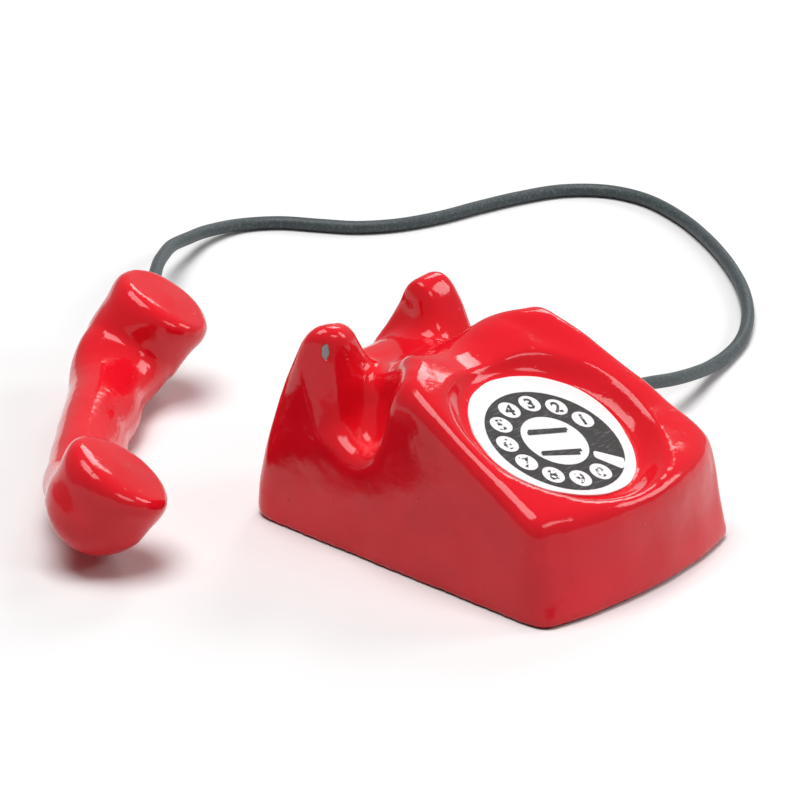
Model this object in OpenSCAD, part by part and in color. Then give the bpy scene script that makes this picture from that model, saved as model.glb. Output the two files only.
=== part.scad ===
// Miniature dial telephone: a cast and enamelled body, a paper dial, a loose handset and its cord.
// Millimetres. The origin is the middle of the underside, +Z up, -Y towards the front of the dial.

/* [Body] */
// Width across the front corners at the foot
front_width = 13; // [11:0.5:16]
// Width across the back corners at the foot
back_width = 8.8; // [8:0.2:12]
// Depth from the middle of the front to the back
body_depth = 18; // [16:0.1:21]
// Height of the sloping face at its front edge
front_height = 4.4; // [3.6:0.1:5.2]
// Height of the ridge behind the dial
ridge_height = 8.5; // [7.6:0.1:10]
// Height of the deck between the two horns
deck_height = 7; // [6:0.1:8]
// Height of the two horns at the back
horn_height = 9.2; // [8.4:0.1:11]
// How far the front bows out between its corners
front_bow = 0.7; // [0:0.1:1.5]
// Inward lean of the side walls for each millimetre of height
wall_draft = 0.015; // [0:0.005:0.1]
// Rounding of the upright corners at the front
corner_round = 0.8; // [0.4:0.1:1.2]
// Rounding along the sides of the sloping face
edge_round = 0.55; // [0.3:0.05:0.8]
// Rounding of the horns
horn_round = 0.8; // [0.6:0.05:0.9]
// Rounding of the upright corners at the back
back_round = 1.1; // [0.7:0.05:1.3]
// Rounding of the lips of the pockets
pocket_round = 0.8; // [0.5:0.05:1]
// Rounding round the foot
foot_round = 0.2; // [0.1:0.05:0.4]

/* [Cradle] */
// Lowest point of the two pockets that take the necks of the handset
pocket_height = 4.6; // [4:0.1:6]
// Distance of the cradle's middle behind the origin
cradle_y = 2.7; // [2.4:0.05:3.2]
// Width of the gap between the ridge and the horns
cradle_gap = 2.9; // [2.7:0.1:3.9]
// How much narrower the pocket on the cord's side is
pocket_narrowing = 0.6; // [0:0.05:0.8]

/* [Dial] */
// Tilt of the dial's floor from level
dial_tilt = 23.5; // [15:0.5:30]
// Distance of the dial's middle in front of the origin
dial_forward = 3.9; // [3.5:0.05:4.2]
// Distance of the dial's middle to the left of the origin
dial_left = 0.35; // [0:0.05:0.5]
// Height of the dial's middle, on the floor of its recess
dial_height = 5.5; // [5.2:0.05:5.8]
// Diameter of the floor of the recess
recess_floor_d = 7.8; // [7:0.1:8.2]
// Diameter of the recess where its wall has become the sloping face
recess_mouth_d = 9.9; // [9.2:0.1:10.2]
// Depth of the dished wall
recess_depth = 0.95; // [0.8:0.05:1.2]
// Diameter of the paper disc
card_d = 7.42; // [6.6:0.02:7.7]
// Thickness of the paper disc
card_thick = 0.08; // [0.05:0.01:0.2]
// Outer diameter of the black ring
ring_d = 6.1; // [5:0.1:6.4]
// Diameter of the white middle
hub_d = 3; // [2:0.1:3.4]
// Diameter of the circle that the ten windows lie on
window_circle_d = 4.66; // [4:0.02:5]
// Diameter of each window
window_d = 1; // [0.6:0.05:1.1]
// Width of the white finger stop
stop_width = 0.42; // [0.2:0.02:0.6]
// Length of the two black bars in the middle
bar_length = 1.9; // [1:0.1:2.2]
// Width of the two black bars
bar_width = 0.16; // [0.1:0.02:0.3]
// How far the print sits to the left of the middle of its card
print_left = 0.19; // [0:0.01:0.2]
// How far the print sits below the middle of its card
print_down = 0.31; // [0:0.01:0.35]
// Turn of the print on its card
print_turn = -22; // [-45:1:45]
// Thickness of the ink film
ink_thick = 0.02; // [0.01:0.01:0.05]

/* [Handset] */
// Distance between the middles of the two bells
bell_spacing = 18.8; // [16:0.1:22]
// Diameter of the cap of each bell
cap_d = 4.75; // [4:0.1:6]
// Depth of the bell at the cord's end, from its back to its cap
cord_bell_depth = 4.35; // [3.8:0.05:5]
// Depth of the bell at the free end, from its back to its cap
free_bell_depth = 3.75; // [3.6:0.05:5]
// Width of the handle
handle_width = 3.4; // [2.6:0.1:4]
// Height of the handle
handle_height = 2.4; // [2.4:0.1:3.8]
// How far the back of the handle stands behind the backs of the bells
handle_drop = 0.7; // [0:0.05:0.8]
// How far the handle sits off the middle of the bells, away from the body
handle_side = 0.25; // [-0.3:0.05:0.3]
// How far the handle bows back from the line of the bells
handle_bow = 0.3; // [0:0.05:0.6]
// Place of the handset's middle to the left of the origin
handset_left = 5.2; // [0:0.1:6]
// Place of the handset's middle behind the origin
handset_back = 16.6; // [15.5:0.1:24]
// Height of the handset's back line above the underside of the body
handset_lift = 1.24; // [0:0.05:2]
// Turn of the handset from the width of the body
handset_turn = 35.3; // [20:0.1:50]
// Roll of the handset about its own length
handset_roll = 33; // [0:0.5:60]

/* [Cord] */
// Diameter of the cord
cord_d = 0.6; // [0.4:0.05:0.9]
// Clearance round the cord in its two holes
cord_clearance = 0.03; // [0.02:0.01:0.1]
// Depth of the hole in the body
body_hole_depth = 1.5; // [1:0.1:3]
// Depth of the hole in the handset
handset_hole_depth = 1.5; // [1:0.1:2]

/* [Hidden] */

half_depth = body_depth / 2;
front_corner_y = -half_depth + front_bow;
side_taper = (front_width - back_width) / 2 / (half_depth - front_corner_y);
gap_front = cradle_y - cradle_gap / 2;
gap_back = cradle_y + cradle_gap / 2;
ridge_y = gap_front - 1.1;
ridge_sag = 0.6;
face_lean = 0.5;
horn_back_y = gap_back + 2.5;
cradle_knot = 18;
slices = 24;
round_steps = 4;
spans = 3;
windows = 10;
first_window = 30;
stop_angle = -34;
stop_start = hub_d / 2 + stop_width;
cord_bell_drop = 0.25;
handle_sides = 28;
handle_rings = 24;
hole_d = cord_d + 2 * cord_clearance;
cord_sides = 8;

// Mouths of the two blind holes that hold the ends of the cord
body_mouth = [half_width(1.3, 2.8), 1.3, 2.8];
handset_mouth_x = bell_spacing / 2 + cap_d / 2 * 0.94;
handset_hole_z = free_bell_depth / 2;

// The cord's way: out of the side of the body, round on the floor and up into the handset
cord_route = [
    body_mouth - [body_hole_depth - 0.2, 0, 0], body_mouth, body_mouth + [2, 0, 0],
    [9.5, 1.3, 2.7], [11.6, 1.3, 2.5], [13.7, 1.4, 2.1], [15.7, 1.6, 1.6], [17.8, 2, 1.1],
    [20, 2.6, 0.6], [22.3, 3.2, 0.35], [24.5, 4, 0.31], [27, 5.5, 0.31], [29.5, 7.6, 0.31],
    [31.8, 10.1, 0.31], [33.8, 12.8, 0.31], [35.3, 15.4, 0.31], [36.2, 18, 0.31], [36, 20.2, 0.31],
    [34.7, 21.9, 0.31], [32.7, 22.9, 0.31], [30.5, 23.6, 0.31], [28.2, 24.2, 0.31], [26.2, 25.1, 0.31],
    [24.7, 26.4, 0.31], [23.8, 28, 0.31], [22.9, 29.7, 0.31], [21.4, 30.9, 0.35], [19.3, 31.1, 0.6],
    [17.2, 30.5, 1], [15, 29.6, 1.5], [12.9, 28.3, 2], [10.8, 26.9, 2.4],
    handset_point([handset_mouth_x + 4.2, 0, handset_hole_z]) + [0, 0.1, -0.1],
    handset_point([handset_mouth_x + 2, 0, handset_hole_z]),
    handset_point([handset_mouth_x, 0, handset_hole_z]),
    handset_point([handset_mouth_x - handset_hole_depth + 0.2, 0, handset_hole_z])
];

function mix(a, b, w) = a + (b - a) * w;
function ease(a, b, x) = let (t = max(0, min(1, (x - a) / (b - a)))) t * t * (3 - 2 * t);

// One point of a uniform cubic B-spline: span i, place t along it
function spline_point(knots, i, t) =
    (pow(1 - t, 3) * knots[i]
     + (3 * t * t * t - 6 * t * t + 4) * knots[i + 1]
     + (-3 * t * t * t + 3 * t * t + 3 * t + 1) * knots[i + 2]
     + t * t * t * knots[i + 3]) / 6;

function spline(knots) = [
    for (i = [0:len(knots) - 4], k = [0:spans - 1]) spline_point(knots, i, k / spans),
    spline_point(knots, len(knots) - 4, 1)
];

// A closed skin over rings that all have the same number of points. Each end is closed by two
// fans, from its first and from its last point, that meet at point middle.
module skin(rings, middle) {
    n = len(rings[0]);
    last = len(rings) - 1;
    base = last * n;
    polyhedron(
        points = [for (ring = rings) each ring],
        faces = [
            [0, n - 1, for (k = [middle:-1:1]) k],
            [for (k = [n - 1:-1:middle]) k],
            for (r = [0:last - 1], k = [0:n - 1])
                let (a = r * n + k, b = r * n + (k + 1) % n) each [[a, b + n, a + n], [a, b, b + n]],
            [for (k = [0:middle]) base + k, base + n - 1],
            [base + n - 1, for (k = [middle:n - 2]) base + k]
        ],
        convexity = 8);
}

// Half the width of the body at a place on its side wall
function half_width(y, z) = front_width / 2 - side_taper * (y - front_corner_y) - wall_draft * z;

// Side view of the body at s, from 0 in the middle to 1 at the side, as spline knots.
// Each knot is [y, z, rounding]: up the front, up the face, over the ridge, through the cradle,
// over the horn and down the back. On the cord's side the hand-cut pocket is narrower.
function body_knots(s, cord_side) =
    let (shift = cord_side ? pocket_narrowing : 0,
         horn_top = horn_height - (cord_side ? 0 : 0.25 * (1 - ease(0.62, 1, s))),
         front = -half_depth + front_bow * s * s,
         top_y = front + face_lean * s * s + 0.15,
         ear = ease(0, 0.65, s),
         pocket = ease(0.45, 0.9, s),
         outer = ease(cord_side ? 0.65 : 0.5, 1, s),
         horn = cord_side ? ease(0.44, 0.7, s) : ease(0.3, 0.64, s),
         ridge_z = ridge_height - ridge_sag * (1 - ear),
         tall = horn_height / 9.2,
         face_start = [top_y, front_height, edge_round],
         face_end = [mix(ridge_y + 0.9, ridge_y, outer), ridge_z, edge_round])
    [
        [front + 1.2, 0, corner_round],
        [front + 0.6, 0, corner_round],
        [front + 0.1, 0, corner_round],
        [front, foot_round, corner_round],
        [front, foot_round * 2, corner_round],
        [mix(front, top_y, 0.4), front_height * 0.5, corner_round],
        [top_y - 0.2, front_height - 0.6, corner_round],
        face_start,
        mix(face_start, face_end, 0.06),
        mix(face_start, face_end, 0.28),
        mix(face_start, face_end, 0.5),
        mix(face_start, face_end, 0.72),
        mix(face_start, face_end, 0.92),
        face_end,
        [mix(gap_front + 0.6, gap_front - 0.5 + shift, outer), ridge_z, edge_round],
        [mix(gap_front + 1.1, gap_front - 0.1 + shift, outer), mix(ridge_z - 0.25, ridge_height - 1.5, outer),
         edge_round],
        [mix(gap_front + 1.5, gap_front + 0.2 + shift * 0.7, outer),
         mix(deck_height + 0.7, pocket_height + 0.9, pocket), edge_round],
        [mix(gap_front + 1.7, gap_front + 0.65 + shift * 0.3, pocket),
         mix(deck_height + 0.5, pocket_height, pocket), edge_round],
        [mix(gap_front + 2, cradle_y - shift * 0.2, pocket),
         mix(deck_height + 0.3, pocket_height - 0.2, pocket), pocket_round],
        [mix(gap_back - 0.5, gap_back - 0.6 - shift * 0.7, pocket),
         mix(deck_height + 0.15, pocket_height, pocket), pocket_round],
        [mix(gap_back - 0.2, gap_back - 0.1 - shift * 0.7, pocket),
         mix(deck_height, pocket_height + 1.2 + shift, pocket), pocket_round],
        [gap_back + 0.1 - shift * 0.4, mix(deck_height, horn_top - 2, horn), horn_round],
        [gap_back + 0.4, mix(deck_height, horn_top - 0.5 - shift * 0.2, horn), horn_round],
        [gap_back + 1.2, mix(deck_height, horn_top + 0.05, horn), horn_round],
        [gap_back + 1.9, mix(deck_height - 0.1, horn_top - 0.2, horn), horn_round],
        [horn_back_y, mix(deck_height - 0.4, horn_top - 1.5, horn), horn_round],
        [mix(horn_back_y, half_depth, 0.35), 6.3 * tall - 0.5 * (1 - horn), back_round],
        [mix(horn_back_y, half_depth, 0.72), 4 * tall, back_round],
        [half_depth - 0.05, 1.5, back_round],
        [half_depth, foot_round * 2, back_round],
        [half_depth, foot_round, back_round],
        [half_depth - 0.1, 0, back_round],
        [half_depth - 0.6, 0, back_round],
        [half_depth - 1.2, 0, back_round]
    ];

// Inward direction square to the side view at point k, level along the foot
function inward(profile, k) =
    let (n = len(profile),
         a = profile[max(k - 1, 0)],
         b = profile[min(k + 1, n - 1)],
         level = profile[k][2] < 0.6,
         d = level ? [sign(-profile[k][1]), 0] : [b[2] - a[2], a[1] - b[1]])
    d / norm(d);

function body_ring(s, turn) =
    let (raw = spline(body_knots(abs(s), s > 0)),
         profile = [for (p = raw) [p[2], p[0], p[1]]])
    [for (k = [0:len(profile) - 1])
        let (r = profile[k][0],
             d = inward(profile, k) * r * (1 - cos(turn)),
             y = profile[k][1] + d[0],
             z = max(0, profile[k][2] + d[1]),
             reach = half_width(y, z) - r * (1 - sin(turn)))
        [s * reach, y, z]];

module dial_frame() {
    translate([-dial_left, -dial_forward, dial_height]) rotate([dial_tilt, 0, 0]) children();
}

// The dished recess, turned as one profile: a flat floor and an S-shaped wall that runs out into
// the sloping face
module dial_recess() {
    floor_r = recess_floor_d / 2;
    mouth_r = recess_mouth_d / 2;
    steps = 7;
    dial_frame() rotate_extrude($fn = 72)
        polygon([
            [0, 0],
            for (i = [0:steps]) [mix(floor_r, mouth_r, i / steps), recess_depth * ease(-0.12, 1.12, i / steps)
                                 - recess_depth * ease(-0.12, 1.12, 0)],
            [mouth_r + 0.3, recess_depth + 0.05], [mouth_r + 0.3, 3], [0, 3]
        ]);
}

module phone_body() {
    turns = [for (i = [1:round_steps]) 90 * i / round_steps];
    color("crimson") difference() {
        skin([
            for (i = [len(turns) - 1:-1:0]) body_ring(-1, turns[i]),
            for (i = [0:slices]) body_ring(-1 + 2 * i / slices, 0),
            for (turn = turns) body_ring(1, turn)
        ], (cradle_knot - 1) * spans);
        dial_recess();
        translate(body_mouth - [body_hole_depth, 0, 0])
            rotate([0, 90, 0]) cylinder(d = hole_d, h = body_hole_depth + 2, $fn = 32);
    }
}

// The paper disc, glued to the floor of the recess
module dial_card() {
    color("white") dial_frame() cylinder(d = card_d, h = card_thick, $fn = 72);
}

module dial_ring_2d() {
    difference() {
        circle(d = ring_d, $fn = 72);
        circle(d = hub_d, $fn = 48);
        for (k = [0:windows - 1])
            rotate(first_window + k * 30) translate([window_circle_d / 2, 0]) circle(d = window_d, $fn = 24);
        rotate(stop_angle) {
            for (r = [stop_start, ring_d / 2 + stop_width])
                translate([r, 0]) circle(d = stop_width, $fn = 24);
            translate([stop_start, -stop_width / 2]) square([ring_d / 2, stop_width]);
        }
    }
}

// The ink: a black ring with ten windows and the finger stop left white, and two bars in the middle
module dial_print() {
    color("dimgray") dial_frame() translate([-print_left, -print_down, card_thick]) rotate(print_turn)
        linear_extrude(height = ink_thick) {
            dial_ring_2d();
            for (side = [-1, 1])
                translate([-bar_length / 2, side * hub_d * 0.22 - bar_width / 2])
                    square([bar_length, bar_width]);
        }
}

// The handset lies on its back, rolled so that the caps face up and towards the body
module handset_frame() {
    translate([-handset_left, handset_back, handset_lift]) rotate([0, 0, handset_turn])
        rotate([handset_roll, 0, 0]) children();
}

// A point of the handset's own frame, as it lies
function handset_point(p) =
    let (y = p[1] * cos(handset_roll) - p[2] * sin(handset_roll),
         z = p[1] * sin(handset_roll) + p[2] * cos(handset_roll))
    [p[0] * cos(handset_turn) - y * sin(handset_turn) - handset_left,
     p[0] * sin(handset_turn) + y * cos(handset_turn) + handset_back,
     z + handset_lift];

// One bell, turned about the axis of its cap, from its round back up to the cap
module bell(d) {
    r = cap_d / 2;
    rotate_extrude($fn = 48)
        polygon([[0, 0], [r * 0.42, 0.06], [r * 0.66, 0.3], [r * 0.82, 0.72], [r * 0.92, 1.35],
                 [r * 0.94, d - 1.6], [r * 0.97, d - 1.2], [r, d - 0.9],
                 [r, d - 0.5], [r * 0.96, d - 0.25], [r * 0.86, d - 0.08], [0, d]]);
}

// Cross-section of the handle at x along it, bowed towards its back
function handle_ring(x) =
    let (u = abs(x) / (bell_spacing / 2),
         flare = ease(0.55, 1, u),
         w = mix(handle_width, cap_d * 0.86, flare) / 2,
         h = mix(handle_height, free_bell_depth * 0.75, flare) / 2,
         z = h - handle_drop * (1 - flare) + handle_bow * (u * u - 1) * (1 - flare))
    [for (k = [0:handle_sides - 1])
        let (a = 360 * k / handle_sides, c = cos(a), s = sin(a), boxy = s < 0 ? 0.65 : 1)
        [x, handle_side * (1 - flare) + w * sign(c) * pow(abs(c), boxy),
         z + h * sign(s) * pow(abs(s), boxy)]];

module handset() {
    color("crimson") handset_frame() difference() {
        union() {
            translate([bell_spacing / 2, 0, -cord_bell_drop]) bell(cord_bell_depth);
            translate([-bell_spacing / 2, 0, 0]) bell(free_bell_depth);
            skin([for (i = [0:handle_rings]) handle_ring(bell_spacing * (0.5 - i / handle_rings))],
                 handle_sides / 2);
        }
        translate([handset_mouth_x - handset_hole_depth, 0, handset_hole_z])
            rotate([0, 90, 0]) cylinder(d = hole_d, h = handset_hole_depth + 1, $fn = 32);
    }
}

// A Catmull-Rom point between b and c
function curve_point(a, b, c, d, t) =
    (2 * b + (c - a) * t + (2 * a - 5 * b + 4 * c - d) * t * t + (3 * b - a - 3 * c + d) * t * t * t) / 2;

function cord_ring(centre, ahead) =
    let (t = ahead / norm(ahead), side = cross(t, [0, 0, 1]) / norm(cross(t, [0, 0, 1])),
         rise = cross(side, t))
    [for (k = [0:cord_sides - 1])
        let (a = 360 * (k + 0.5) / cord_sides) centre + cord_d / 2 * (side * cos(a) + rise * sin(a))];

module cord() {
    n = len(cord_route);
    line = [
        for (i = [0:n - 2], k = [0:1])
            curve_point(cord_route[max(i - 1, 0)], cord_route[i], cord_route[i + 1],
                        cord_route[min(i + 2, n - 1)], k / 2),
        cord_route[n - 1]
    ];
    m = len(line);
    color("darkslategray")
        skin([for (i = [0:m - 1]) cord_ring(line[i], line[min(i + 1, m - 1)] - line[max(i - 1, 0)])],
             cord_sides / 2);
}

phone_body();
dial_card();
dial_print();
handset();
cord();
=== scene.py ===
import math
import bmesh
import bpy
from mathutils import Matrix, Vector, noise
from mathutils.bvhtree import BVHTree


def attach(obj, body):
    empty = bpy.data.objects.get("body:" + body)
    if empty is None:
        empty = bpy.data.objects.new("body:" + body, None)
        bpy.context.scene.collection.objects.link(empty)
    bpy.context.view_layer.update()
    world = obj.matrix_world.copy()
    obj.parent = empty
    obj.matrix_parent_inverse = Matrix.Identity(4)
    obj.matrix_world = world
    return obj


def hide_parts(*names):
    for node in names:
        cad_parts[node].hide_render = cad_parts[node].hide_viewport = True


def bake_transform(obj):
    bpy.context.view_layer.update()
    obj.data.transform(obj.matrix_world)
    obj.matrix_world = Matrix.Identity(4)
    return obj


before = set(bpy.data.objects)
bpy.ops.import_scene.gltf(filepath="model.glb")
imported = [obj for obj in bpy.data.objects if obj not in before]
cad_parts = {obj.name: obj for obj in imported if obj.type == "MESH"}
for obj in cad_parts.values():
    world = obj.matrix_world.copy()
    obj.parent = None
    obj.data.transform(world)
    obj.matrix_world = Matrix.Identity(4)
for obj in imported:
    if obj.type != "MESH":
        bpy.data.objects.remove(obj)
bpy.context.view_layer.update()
mm = 0.001

eye = {
    "place": (-188.02, -144.38, 102.11),     # mm
    "right": (0.6207, -0.7841, 0.0011),
    "up": (0.2940, 0.2340, 0.9267),
    "back": (-0.7269, -0.5749, 0.3757),
    "focal": 277.8,
    "sensor": 36,
    "clip": (0.01, 20),      # m
    "across": 800,           # the view's width, in the steps that a place in it is given in
}


def makeCamera():
    data = bpy.data.cameras.new("camera")
    data.lens, data.sensor_width = eye["focal"], eye["sensor"]
    data.clip_start, data.clip_end = eye["clip"]
    camera = bpy.data.objects.new("camera", data)
    bpy.context.collection.objects.link(camera)
    turn = Matrix((eye["right"], eye["up"], eye["back"])).transposed()
    camera.matrix_world = Matrix.Translation(Vector(eye["place"]) * mm) @ turn.to_4x4()
    bpy.context.scene.camera = camera
    print("camera placed")


makeCamera()


def newPiece(name, bm, body, smooth=True):
    mesh = bpy.data.meshes.new(name)
    bm.to_mesh(mesh)
    bm.free()
    for face in mesh.polygons:
        face.use_smooth = smooth
    piece = bpy.data.objects.new(name, mesh)
    bpy.context.collection.objects.link(piece)
    if body:
        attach(piece, body)
    return piece


def vertsIn(geom):
    return [g for g in geom if isinstance(g, bmesh.types.BMVert)]


def throughModifier(bm, kind, **settings):
    # puts a bmesh through one modifier and hands it back
    mesh = bpy.data.meshes.new("work")
    bm.to_mesh(mesh)
    bm.free()
    work = bpy.data.objects.new("work", mesh)
    bpy.context.collection.objects.link(work)
    modifier = work.modifiers.new("work", kind)
    for key, value in settings.items():
        setattr(modifier, key, value)
    bpy.context.view_layer.update()
    seen = work.evaluated_get(bpy.context.evaluated_depsgraph_get())
    done = bmesh.new()
    done.from_mesh(seen.to_mesh())
    seen.to_mesh_clear()
    bpy.data.objects.remove(work)
    bpy.data.meshes.remove(mesh)
    return done


cordMake = {
    "diameter": 0.6,     # mm
    "sides": 16,
    "steps": 6,          # rings from one point of the route to the next
    # out of the side of the body, round on the table and up into the handset
    "route": [
        (3.99, 1.3, 2.8), (5.29, 1.3, 2.8), (7.29, 1.3, 2.8), (9.5, 1.3, 2.7), (11.6, 1.3, 2.5), (13.7, 1.4, 2.1),
        (15.7, 1.6, 1.6), (17.8, 2, 1.1), (20, 2.6, 0.6), (22.3, 3.2, 0.35), (24.5, 4, 0.31), (27, 5.5, 0.31),
        (29.5, 7.6, 0.31), (31.8, 10.1, 0.31), (33.8, 12.8, 0.31), (35.3, 15.4, 0.31), (36.2, 18, 0.31),
        (36, 20.2, 0.31), (34.7, 21.9, 0.31), (32.7, 22.9, 0.31), (30.5, 23.6, 0.31), (28.2, 24.2, 0.31),
        (26.2, 25.1, 0.31), (24.7, 26.4, 0.31), (23.8, 28, 0.31), (22.9, 29.7, 0.31), (21.4, 30.9, 0.35),
        (19.3, 31.1, 0.6), (17.2, 30.5, 1), (15, 29.6, 1.5), (12.9, 28.3, 2), (10.8, 26.9, 2.4),
        (8.31, 25.02, 2.71), (6.52, 23.64, 2.81), (4.88, 22.49, 2.81), (3.82, 21.74, 2.81),
    ],
}


def curveThrough(points, steps):
    line = []
    for i in range(len(points) - 1):
        a, b, c, d = (points[max(0, min(len(points) - 1, i + k))] for k in (-1, 0, 1, 2))
        for k in range(steps):
            t = k / steps
            line.append((b * 2 + (c - a) * t + (a * 2 - b * 5 + c * 4 - d) * t * t
                         + (b * 3 - a - c * 3 + d) * t * t * t) / 2)
    return line + [points[-1]]


def makeCord():
    line = curveThrough([Vector(p) * mm for p in cordMake["route"]], cordMake["steps"])
    bm = bmesh.new()
    ring = bmesh.ops.create_circle(bm, segments=cordMake["sides"], radius=cordMake["diameter"] / 2 * mm)["verts"]
    ahead = (line[1] - line[0]).normalized()
    bmesh.ops.rotate(bm, verts=ring, matrix=Vector((0, 0, 1)).rotation_difference(ahead).to_matrix())
    bmesh.ops.translate(bm, verts=ring, vec=line[0])
    edges = list({e for v in ring for e in v.link_edges})
    bmesh.ops.contextual_create(bm, geom=edges)
    for i in range(1, len(line)):
        grown = bmesh.ops.extrude_edge_only(bm, edges=edges)["geom"]
        ring = vertsIn(grown)
        edges = [g for g in grown if isinstance(g, bmesh.types.BMEdge)]
        bmesh.ops.translate(bm, verts=ring, vec=line[i] - line[i - 1])
        onward = (line[min(i + 1, len(line) - 1)] - line[i - 1]).normalized()
        bmesh.ops.rotate(bm, verts=ring, cent=line[i], matrix=ahead.rotation_difference(onward).to_matrix())
        ahead = onward
    bmesh.ops.contextual_create(bm, geom=edges)
    bmesh.ops.recalc_face_normals(bm, faces=bm.faces)
    piece = newPiece("cord_sleeve", bm, None)
    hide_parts("cord")
    length = sum((b - a).length for a, b in zip(line, line[1:]))
    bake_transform(piece)
    print("cord made,", round(length / mm, 1), "mm")
    return piece


cordSleeve = makeCord()


casting = {
    "voxel": 0.1,        # mm
    "rounds": 8,         # of smoothing, as the thick enamel fills corners
    "softRounds": 70,    # where it lies thickest
    "lastRounds": 2,     # over the whole casting once the soft places are in
    "foot": 0.9,         # mm from the table up that stay crisp
    "flat": 0.03,        # mm from the table up that take no lumps
    "lumpSize": 1.9,     # mm between broad lumps
    "lumpHeight": 0.04,
    "rippleSize": 0.62,
    "rippleHeight": 0.007,
}

# where the enamel lies thickest: the ends of a line and its reach in mm, share of the softening
bodySoftened = [
    ((-5.2, 0, 8.2), (-6.05, -7.5, 4.3), 1.7, 1),        # sloping edges beside the dial
    ((5.2, 0, 8.2), (6.05, -7.5, 4.3), 1.3, 0.4),
    ((-5.8, -7.8, 4.3), (0, -8.9, 4.3), 1.3, 0.8),       # front edge of the face
    ((0, -8.9, 4.3), (5.8, -7.8, 4.3), 1.3, 0.8),
    ((-6.15, -8.0, 0.6), (-6.1, -7.6, 4.0), 1.6, 1),     # upright corners
    ((6.15, -8.0, 0.6), (6.1, -7.6, 4.0), 1.5, 0.7),
    ((-4.9, 0.5, 8.2), (-4.7, 1.4, 6.4), 1.5, 1),        # ends of the ridge
    ((4.9, 0.5, 8.2), (4.7, 1.4, 6.4), 1.4, 0.4),
    ((-4.55, 4.1, 5.6), (-4.5, 4.8, 8.0), 1.6, 1),       # front corner of each horn
    ((4.7, 3.7, 5.6), (4.6, 4.8, 8.0), 1.5, 0.5),
    ((-4.9, 3.0, 4.1), (-4.6, 4.0, 5.0), 1.2, 0.4),      # lip of the near pocket
    ((-2.4, 4.4, 7.0), (-2.2, 3.2, 7.2), 1.6, 0.8),      # where the horns meet the deck
    ((2.4, 4.4, 7.0), (2.2, 3.2, 7.2), 1.9, 1),
    ((-3.6, 1.6, 7.9), (-2.6, 2.4, 7.8), 1.6, 1),        # where the ridge meets the deck and the near pocket
    ((-2.6, 1.9, 7.8), (2.4, 2.2, 7.6), 1.7, 0.8),
]
handsetSoftened = [
    ((3.4, 20.8, 4.4), (2.0, 20.0, 1.2), 3.6, 0.5),      # bell at the cord's end
    ((0.6, 19.2, 2.2), (-1.8, 17.6, 2.4), 3.2, 1),       # its joint with the handle
    ((-12.4, 10, 4.0), (-11.6, 10.4, 1.6), 3.2, 0.35),   # bell at the free end
    ((-9.6, 12.2, 2.2), (-7.8, 13.2, 2.2), 2.6, 0.8),
    ((-13.8, 9.8, 4.8), (-13.3, 8.2, 4.2), 1.8, 1),      # rims of the caps towards the free end
    ((0.6, 20.6, 5.0), (2.2, 19.2, 4.4), 1.6, 1),
]
# pulled along a line: its ends, the reach and the move in mm
bodyPulled = [
    ((-4.6, 4.0, 5.6), (-4.5, 4.9, 8.0), 1.4, (0.3, 0.22, 0)),      # near horn rolls into its pocket
    ((-3.4, 5.2, 8.8), (-3.4, 5.2, 8.8), 1.5, (0.1, -0.15, 0.06)),
    ((2.7, 5.3, 8.8), (3.8, 5.3, 8.8), 1.4, (-0.1, 0, 0.2)),        # far horn stands tall
    ((2.0, 6.0, 7.6), (2.0, 6.4, 6.8), 1.2, (0.25, -0.1, 0)),
    ((-2.7, 3.6, 6.9), (-2.2, 3.0, 7.2), 1.2, (-0.2, 0, -0.05)),    # edge of the deck over the near pocket
    ((-4.9, 0.4, 8.4), (-4.9, 0.4, 8.4), 1.5, (0.25, 0, -0.12)),
    ((4.0, 1.2, 8.2), (4.6, 1.0, 8.2), 1.3, (0, 0, 0.16)),          # bump at the ridge's far end
    ((5.3, -1.5, 7.4), (5.7, -4.0, 6.1), 1.8, (0.12, 0, 0.04)),
    ((-5.6, -9, -0.2), (5.6, -9, -0.2), 2.4, (0, -0.2, 0)),         # foot of the front
    ((6.1, -7.6, 4.1), (6.1, -7.6, 4.1), 1.4, (-0.12, 0.05, -0.05)),
]
handsetPulled = [
    ((-3.5, 16.5, 2.0), (-9.5, 12.5, 2.0), 3.2, (-0.2, 0.26, 0)),   # handle bows away from the telephone
    ((0.5, 21.2, 3.2), (0.2, 21.0, 1.6), 2.8, (-0.3, 0.32, 0)),
    ((3.0, 21.8, 5.6), (3.0, 21.8, 5.6), 2.4, (0, 0, -0.12)),
    ((4.7, 19.6, 3.8), (4.7, 19.6, 3.8), 2.4, (-0.06, 0.08, 0)),
    ((-11.8, 8.4, 1.4), (-11.8, 8.4, 1.4), 2.6, (0.06, -0.12, -0.06)),
    ((-14.0, 10.2, 1.2), (-14.0, 10.2, 1.2), 2.6, (-0.12, 0.08, -0.12)),
]


def smoothed(bm, rounds):
    for _ in range(rounds):
        bmesh.ops.smooth_vert(bm, verts=bm.verts, factor=0.5, use_axis_x=True, use_axis_y=True, use_axis_z=True)


def nearLine(spots, start, end, reach):
    # each spot's index and how near it is: 1 on the line, 0 from the reach on
    start, line = Vector(start), Vector(end) - Vector(start)
    middle, far = start + line / 2, (line.length / 2 + reach) ** 2
    for i, spot in enumerate(spots):
        if (spot - middle).length_squared < far:
            along = max(0, min(1, (spot - start).dot(line) / (line.length_squared or 1)))
            away = (spot - start - line * along).length_squared / reach ** 2
            if away < 1:
                yield i, (1 - away) ** 2


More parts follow.
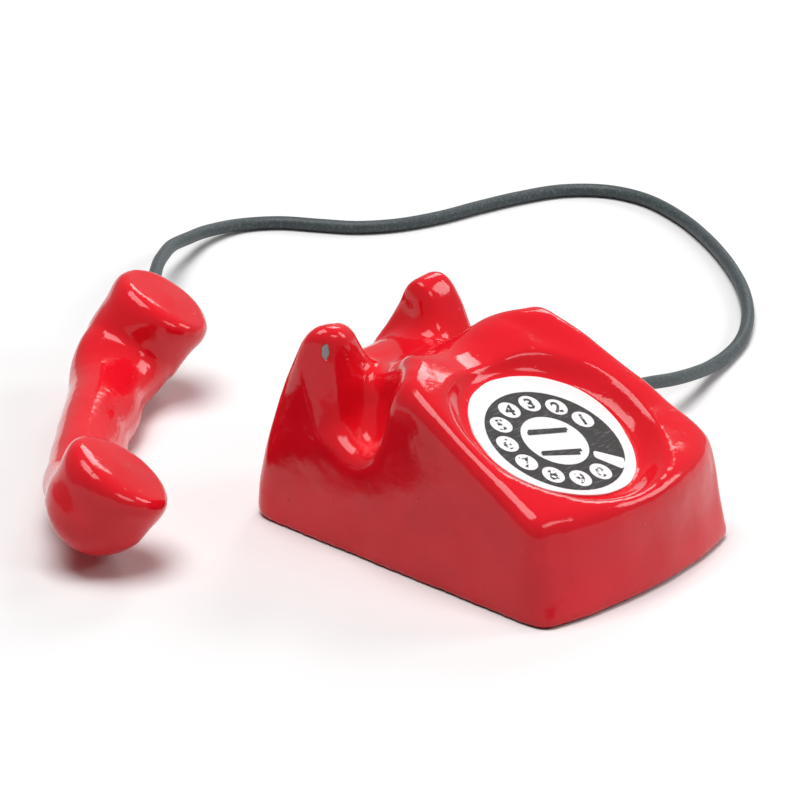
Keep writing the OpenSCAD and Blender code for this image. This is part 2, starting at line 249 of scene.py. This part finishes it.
def enamelSkin(name, node, body, softened, pulled, seed):
    bm = bmesh.new()
    bm.from_mesh(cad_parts[node].data)
    bmesh.ops.remove_doubles(bm, verts=bm.verts, dist=1e-6)
    bm = throughModifier(bm, "REMESH", mode="VOXEL", voxel_size=casting["voxel"] * mm)
    smoothed(bm, casting["rounds"])
    bm.verts.ensure_lookup_table()
    spots = [v.co / mm for v in bm.verts]
    for start, end, reach, move in pulled:
        for i, share in nearLine(spots, start, end, reach):
            bm.verts[i].co += Vector(move) * mm * share

    sharp = [v.co.copy() for v in bm.verts]
    spots = [co / mm for co in sharp]
    soft = [0] * len(spots)
    for start, end, reach, most in softened:
        for i, share in nearLine(spots, start, end, reach):
            soft[i] = max(soft[i], most * share)
    smoothed(bm, casting["softRounds"])
    for v, co, spot, share in zip(bm.verts, sharp, spots, soft):
        v.co = co.lerp(v.co, share * max(0, min(1, spot.z / casting["foot"])))
    smoothed(bm, casting["lastRounds"])

    bm.normal_update()
    shift = Vector((seed, seed * 2, seed * 3))
    moves = []
    for v in bm.verts:
        spot = v.co / mm
        broad = noise.noise(spot / casting["lumpSize"] + shift)
        fine = noise.noise(spot / casting["rippleSize"] + shift)
        moves.append(v.normal * (broad * casting["lumpHeight"] + fine * casting["rippleHeight"]) * mm)
    for v, move in zip(bm.verts, moves):
        if v.co.z > casting["flat"] * mm:
            v.co += move
        v.co.z = max(v.co.z, 0)
    print(name, len(bm.faces), "faces")
    piece = newPiece(name, bm, body)
    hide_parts(node)
    return piece


bodySkin = enamelSkin("body_enamel", "phone_body", "base", bodySoftened, bodyPulled, 4)
handsetSkin = enamelSkin("handset_enamel", "handset", "handset", handsetSoftened, handsetPulled, 9)


dial = {
    "middle": (-0.35, -3.9, 5.5),    # mm
    "tilt": 23.5,                    # degrees
    "cardRadius": 3.71,
    "cardThick": 0.08,
    "cardSides": 144,
    "cardRounding": 0.02,
    # waves of the scissors round the paper: how many, how high in mm and where the first lies
    "cuts": [(2, 0.067, 46), (3, 0.046, 39), (4, 0.058, 16), (11, 0.008, 20), (17, 0.006, 5)],
    "printMiddle": (-0.19, -0.31),
    "turn": -22,
    "windowCircle": 2.33,
    "firstWindow": 30,
    "nextWindow": 30,
    "digitHeight": 0.62,
    "capital": 0.72,                 # height of a digit in a font of size 1
    "bold": 0.022,
    "digitLift": 0.005,              # of the ink's middle over the paper
    "markLift": 0.022,
    "inkThick": 0.004,
}
dialPlace = Matrix.Translation(Vector(dial["middle"]) * mm) @ Matrix.Rotation(math.radians(dial["tilt"]), 4, "X")
printPlace = (dialPlace @ Matrix.Translation(Vector((*dial["printMiddle"], dial["cardThick"])) * mm)
              @ Matrix.Rotation(math.radians(dial["turn"]), 4, "Z"))


def makeCard():
    bm = bmesh.new()
    rim = bmesh.ops.create_circle(bm, cap_ends=True, segments=dial["cardSides"],
                                   radius=dial["cardRadius"] * mm)["verts"]
    for v in rim:
        around = math.degrees(math.atan2(v.co.y, v.co.x))
        cut = sum(depth * math.cos(math.radians(waves * (around - first))) for waves, depth, first in dial["cuts"])
        v.co *= 1 + cut / dial["cardRadius"]
    top = bmesh.ops.extrude_face_region(bm, geom=list(bm.faces))["geom"]
    bmesh.ops.translate(bm, verts=vertsIn(top), vec=(0, 0, dial["cardThick"] * mm))
    bmesh.ops.recalc_face_normals(bm, faces=bm.faces)
    rimEdges = [e for e in bm.edges if len(e.link_faces) == 2 and e.calc_face_angle(0) > 1
                and min(v.co.z for v in e.verts) > dial["cardThick"] * mm / 2]
    bmesh.ops.bevel(bm, geom=rimEdges, offset=dial["cardRounding"] * mm, offset_type="OFFSET", segments=2,
                    affect="EDGES", profile=0.5, material=-1)
    bmesh.ops.transform(bm, matrix=dialPlace, verts=bm.verts)
    piece = newPiece("dial_paper", bm, "base", smooth=False)
    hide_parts("dial_card")
    print("dial paper cut")
    return piece


def makeDigit(digit, around):
    text = bpy.data.curves.new("digit_" + digit, "FONT")
    text.body, text.size = digit, dial["digitHeight"] / dial["capital"] * mm
    text.extrude = dial["inkThick"] * mm
    text.offset = dial["bold"] * mm
    text.resolution_u = 4
    holder = bpy.data.objects.new("digit", text)
    bpy.context.collection.objects.link(holder)
    bpy.context.view_layer.update()
    bm = bmesh.new()
    bm.from_mesh(holder.to_mesh())
    holder.to_mesh_clear()
    bpy.data.objects.remove(holder)
    low = Vector([min(v.co[i] for v in bm.verts) for i in range(3)])
    high = Vector([max(v.co[i] for v in bm.verts) for i in range(3)])
    bmesh.ops.translate(bm, verts=bm.verts, vec=-(low + high) / 2)
    spot = Vector((math.cos(around), math.sin(around), 0)) * dial["windowCircle"] * mm
    spot.z = dial["digitLift"] * mm
    bmesh.ops.transform(bm, matrix=printPlace @ Matrix.Translation(spot), verts=bm.verts)
    return newPiece("digit_" + digit, bm, "base", smooth=False)


# marks printed over the ring and the hub: their corners on the print in mm
marks = {
    "stop_mark": [(1.30, -1.16), (2.30, -2.00), (2.70, -1.36), (1.46, -0.76)],
    "hub_stroke_1": [(-1.07, 0.43), (0.85, 0.46), (0.87, 0.70), (-1.05, 0.63)],
    "hub_stroke_2": [(-1.05, -0.84), (0.78, -0.93), (0.80, -0.68), (-1.04, -0.63)],
}


def makeMark(name, rounding):
    bm = bmesh.new()
    corners = [bm.verts.new((x * mm, y * mm, dial["markLift"] * mm)) for x, y in marks[name]]
    bm.faces.new(corners)
    bmesh.ops.bevel(bm, geom=corners, offset=rounding * mm, offset_type="OFFSET", segments=4, affect="VERTICES",
                    profile=0.5, material=-1)
    top = bmesh.ops.extrude_face_region(bm, geom=list(bm.faces))["geom"]
    bmesh.ops.translate(bm, verts=vertsIn(top), vec=(0, 0, dial["inkThick"] * mm))
    bmesh.ops.recalc_face_normals(bm, faces=bm.faces)
    bmesh.ops.transform(bm, matrix=printPlace, verts=bm.verts)
    return newPiece(name, bm, "base", smooth=False)


stopMark = makeMark("stop_mark", rounding=0.14)
hubStrokes = [makeMark(name, rounding=0.03) for name in ("hub_stroke_1", "hub_stroke_2")]
dialPaper = makeCard()
digits = [makeDigit(digit, math.radians(dial["firstWindow"] + dial["nextWindow"] * k))
          for k, digit in enumerate("1234567890")]
print("digits printed")


class Shade:
    # one socket of a material, with arithmetic
    def __init__(self, tree, socket):
        self.tree, self.socket = tree, socket

    def make(self, kind, settings=None, inputs=None, out=0):
        node = self.tree.nodes.new("ShaderNode" + kind)
        for key, value in (settings or {}).items():
            setattr(node, key, value)
        for key, value in (inputs or {}).items():
            if isinstance(value, Shade):
                self.tree.links.new(value.socket, node.inputs[key])
            else:
                node.inputs[key].default_value = value
        return Shade(self.tree, node.outputs[out])

    def maths(self, operation, *values):
        return self.make("Math", {"operation": operation}, dict(enumerate(values)))

    def __add__(self, other): return self.maths("ADD", self, other)
    def __radd__(self, other): return self.maths("ADD", other, self)
    def __sub__(self, other): return self.maths("SUBTRACT", self, other)
    def __rsub__(self, other): return self.maths("SUBTRACT", other, self)
    def __mul__(self, other): return self.maths("MULTIPLY", self, other)
    def __rmul__(self, other): return self.maths("MULTIPLY", other, self)
    def __truediv__(self, other): return self.maths("DIVIDE", self, other)

    def between(self, low, high):
        # 0 below low, 1 above high and smooth from one to the other
        return self.make("MapRange", {"interpolation_type": "SMOOTHSTEP"},
                         {"Value": self, "From Min": low, "From Max": high})

    def choose(self, low, high):
        # the first colour where this is 0, the second where it is 1
        return self.make("Mix", {"data_type": "RGBA"}, {0: self, 6: low, 7: high}, out=2)

    def grain(self, size, detail=2.0, turn=(0, 0, 0), stretch=(1, 1, 1)):
        # noise with lumps about size mm across, on this vector
        spot = self.make("Mapping", None, {"Vector": self, "Rotation": turn, "Scale": stretch})
        return self.make("TexNoise", None, {"Vector": spot, "Scale": 1 / (size * mm), "Detail": detail})

    def away(self, centre, size):
        # how far this vector is from a point, with size in mm along each axis as 1
        offset = self.make("VectorMath", {"operation": "SUBTRACT"}, {0: self, 1: [c * mm for c in centre]})
        shrunk = self.make("VectorMath", {"operation": "DIVIDE"}, {0: offset, 1: [s * mm for s in size]})
        return self.make("VectorMath", {"operation": "LENGTH"}, {0: shrunk}, out=1)


def newMaterial(name):
    material = bpy.data.materials.new(name)
    material.use_nodes = True
    tree = material.node_tree
    place = Shade(tree, tree.nodes.new("ShaderNodeTexCoord").outputs["Object"])
    return material, place


def finish(material, height=None, strength=1.0, **sockets):
    # feeds the shader; height is in mm
    tree = material.node_tree
    shader = tree.nodes["Principled BSDF"]
    if height:
        sockets["Normal"] = height.make("Bump", None, {"Height": height * mm, "Strength": strength, "Distance": 1.0})
    for key, value in sockets.items():
        socket = shader.inputs[key.replace("_", " ")]
        if isinstance(value, Shade):
            tree.links.new(value.socket, socket)
        else:
            socket.default_value = value
    return material


enamel = {
    "red": (0.84, 0.007, 0.019, 1),
    "deep": (0.68, 0.003, 0.010, 1),
    "metal": (0.30, 0.31, 0.30, 1),
    # near black at the foot: the bare unpainted edge, darkened further by a painted contact shadow
    "bareEdgeShade": (0.03, 0.018, 0.018, 1),
    "cloud": 2.6,                    # mm across, of the shifts between the two reds
    "cloudShare": 0.4,
    "roughness": 0.06,
    "smear": (1.3, 0.08),            # mm across, and how much rougher
    "peel": (0.45, 0.012),           # mm across and mm high, as the two below
    "fine": (0.15, 0.002),
    "nibs": (0.8, 0.02),
    "bump": 0.9,
    "ior": 1.40,
    "bareEdgeShadeHeights": (0.02, 0.12),        # mm from the table, from darkest (bare edge under a painted contact shadow) to fully covered
    "bareEdgeShadeWander": (0.5, 0.16),       # mm along and mm up
    "bareEdgeShadeShare": 0.75,
    "chipSeen": (-74.5, 47.5),       # to the right of and above the middle of the view, in 1/800 of its width
    "chipSize": (0.17, 0.17, 0.40),  # mm
    "chipRagged": (0.22, 0.7),
    "chipDepth": 0.05,
    "chipRough": 0.25,
    "chipMetal": 0.7,
}


def whereSeen(piece, right, up):
    # the point of a piece in mm that shows at this place in the view
    tree = BVHTree.FromObject(piece, bpy.context.evaluated_depsgraph_get())
    reach = eye["focal"] / eye["sensor"] * eye["across"]
    ahead = Vector(eye["right"]) * right / reach + Vector(eye["up"]) * up / reach - Vector(eye["back"])
    return tree.ray_cast(Vector(eye["place"]) * mm, ahead.normalized())[0] / mm


enamel["chip"] = whereSeen(bodySkin, *enamel["chipSeen"])


def enamelMaterial(name, body):
    material, place = newMaterial(name)
    cloudy = place.grain(enamel["cloud"], 3).between(0.38, 0.68)
    colour = (cloudy * enamel["cloudShare"]).choose(enamel["red"], enamel["deep"])
    peelSize, peelHeight = enamel["peel"]
    fineSize, fineHeight = enamel["fine"]
    nibSize, nibHeight = enamel["nibs"]
    cells = place.make("TexVoronoi", None, {"Vector": place, "Scale": 1 / (nibSize * mm)})
    nibs = 1 - cells.between(0.03, 0.09)
    height = place.grain(peelSize) * peelHeight + place.grain(fineSize, 1) * fineHeight + nibs * nibHeight
    smearSize, smear = enamel["smear"]
    rough = place.grain(smearSize) * smear + enamel["roughness"]
    if not body:
        return finish(material, height, enamel["bump"], Base_Color=colour, Roughness=rough, IOR=enamel["ior"])
    raggedSize, ragged = enamel["chipRagged"]
    edge = place.grain(raggedSize) * ragged - ragged / 2
    chip = 1 - (place.away(enamel["chip"], enamel["chipSize"]) + edge).between(0.85, 1.0)
    # a dark line along the foot: the bare unpainted edge with a painted contact shadow where the casting meets the
    # table
    wanderSize, wander = enamel["bareEdgeShadeWander"]
    foot = place.make("SeparateXYZ", None, {"Vector": place}, out=2) / mm
    foot = foot + place.grain(wanderSize) * wander - wander / 2
    bareEdgeShade = 1 - foot.between(*enamel["bareEdgeShadeHeights"])
    colour = chip.choose((bareEdgeShade * enamel["bareEdgeShadeShare"]).choose(colour, enamel["bareEdgeShade"]), enamel["metal"])
    return finish(material, height - chip * enamel["chipDepth"], enamel["bump"], Base_Color=colour,
                  Roughness=rough + chip * enamel["chipRough"], Metallic=chip * enamel["chipMetal"],
                  IOR=enamel["ior"])


printed = {
    "white": (0.90, 0.90, 0.90, 1),
    "fibre": (0.80, 0.80, 0.81, 1),
    "ink": (0.022, 0.020, 0.020, 1),
    "streak": (0.13, 0.13, 0.13, 1),
    "worn": {"5": 0.13, "6": 0.16, "7": 0.14, "8": 0.12, "9": 0.14, "0": 0.20},
    "wornLeast": 0.02,
    "paperRough": 0.55,
    "inkRough": 0.65,
}


def paperMaterial():
    material, place = newMaterial("printed paper")
    fibres = place.grain(0.12, 3, (0, 0, 0.6), (0.35, 1, 1))
    colour = (fibres.between(0.5, 0.8) * 0.5).choose(printed["white"], printed["fibre"])
    return finish(material, fibres * 0.006, 0.6, Base_Color=colour, Roughness=printed["paperRough"])


def inkMaterial(name, wear=0):
    material, place = newMaterial(name)
    streaks = place.grain(0.09, 2, (0, 0, 0.9), (0.16, 1, 1)).between(0.52, 0.72)
    colour = (streaks * 0.6).choose(printed["ink"], printed["streak"])
    if wear:
        colour = place.grain(0.16, 1).between(0.62 - wear, 0.70 - wear).choose(colour, printed["white"])
    return finish(material, Base_Color=colour, Roughness=printed["inkRough"])


sleeve = {
    "dark": (0.040, 0.054, 0.058, 1),
    "pale": (0.10, 0.125, 0.13, 1),
    "lint": (0.12, 0.02),        # mm across and mm high
    "roughness": 0.42,
    "rougher": 0.2,              # where the lint stands up
}


def cordMaterial():
    material, place = newMaterial("cord sleeve")
    size, height = sleeve["lint"]
    lint = place.grain(size)
    colour = lint.between(0.45, 0.75).choose(sleeve["dark"], sleeve["pale"])
    return finish(material, lint * height, 0.7, Base_Color=colour,
                  Roughness=lint * sleeve["rougher"] + sleeve["roughness"])


def paint(piece, material):
    piece.data.materials.clear()
    piece.data.materials.append(material)


paint(bodySkin, enamelMaterial("red enamel body", True))
paint(handsetSkin, enamelMaterial("red enamel handset", False))
for piece in (dialPaper, stopMark):
    paint(piece, paperMaterial())
paint(cordSleeve, cordMaterial())
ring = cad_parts["dial_print"]
ringInk = inkMaterial("ring ink")
if not ring.material_slots:
    ring.data.materials.append(ringInk)
for slot in ring.material_slots:
    slot.material = ringInk
for piece in hubStrokes:
    paint(piece, ringInk)
for piece in digits:
    digit = piece.name[-1]
    paint(piece, inkMaterial("digit ink " + digit, printed["worn"].get(digit, printed["wornLeast"])))
print("materials made")


studio = {
    "sky": 0.06,         # of the world's light on surfaces that aren't seen in it
    "lamps": {           # place in m, width and length in m, power in W
        "overhead": ((-0.09, 0.03, 0.74), 0.50, 0.50, 5.2),
        "main": ((0.518, -0.337, 0.328), 0.24, 0.26, 1.1),
        "front": ((0.079, -0.561, 0.411), 0.25, 0.14, 0.55),
        "right": ((0.549, 0.189, 0.391), 0.17, 0.26, 0.75),
    },
    "seen": 0.38,        # of the world where it is seen, also in the gloss
    "floor": (0.64, 0.64, 0.64, 1),
    "floorSeen": (0.92, 0.92, 0.92, 1),
    "floorSize": 1.5,    # m from its middle to each side
    "floorDrop": 0.00002,
    "aim": (0, 0, 0.004),
}


def seen(tree):
    # 1 where the camera looks straight at it or sees it in gloss or through glass
    ray = tree.nodes.new("ShaderNodeLightPath")
    camera, gloss, glass = (Shade(tree, ray.outputs["Is %s Ray" % kind])
                            for kind in ("Camera", "Glossy", "Transmission"))
    return camera.maths("MAXIMUM", camera, gloss.maths("MAXIMUM", gloss, glass))


def makeStudio():
    for name, (place, width, length, power) in studio["lamps"].items():
        data = bpy.data.lights.new(name, "AREA")
        data.shape, data.size, data.size_y, data.energy = "RECTANGLE", width, length, power
        lamp = bpy.data.objects.new(name, data)
        bpy.context.collection.objects.link(lamp)
        lamp.location = place
        lamp.rotation_euler = (Vector(studio["aim"]) - Vector(place)).to_track_quat("-Z", "Y").to_euler()
    world = bpy.data.worlds.new("studio")
    bpy.context.scene.world = world
    world.use_nodes = True
    tree = world.node_tree
    strength = seen(tree) * (studio["seen"] - studio["sky"]) + studio["sky"]
    tree.nodes["Background"].inputs["Color"].default_value = (1, 1, 1, 1)
    tree.links.new(strength.socket, tree.nodes["Background"].inputs["Strength"])

    bm = bmesh.new()
    bmesh.ops.create_grid(bm, x_segments=1, y_segments=1, size=studio["floorSize"])
    bmesh.ops.translate(bm, verts=bm.verts, vec=(0, 0, -studio["floorDrop"]))
    mesh = bpy.data.meshes.new("floor")
    bm.to_mesh(mesh)
    bm.free()
    floor = bpy.data.objects.new("floor", mesh)
    bpy.context.collection.objects.link(floor)
    material, place = newMaterial("pale floor")
    pale = seen(material.node_tree).choose(studio["floor"], studio["floorSeen"])
    floor.data.materials.append(finish(material, Base_Color=pale, Roughness=0.9))
    bpy.context.scene.view_settings.view_transform = "Standard"
    print("studio lit")


makeStudio()
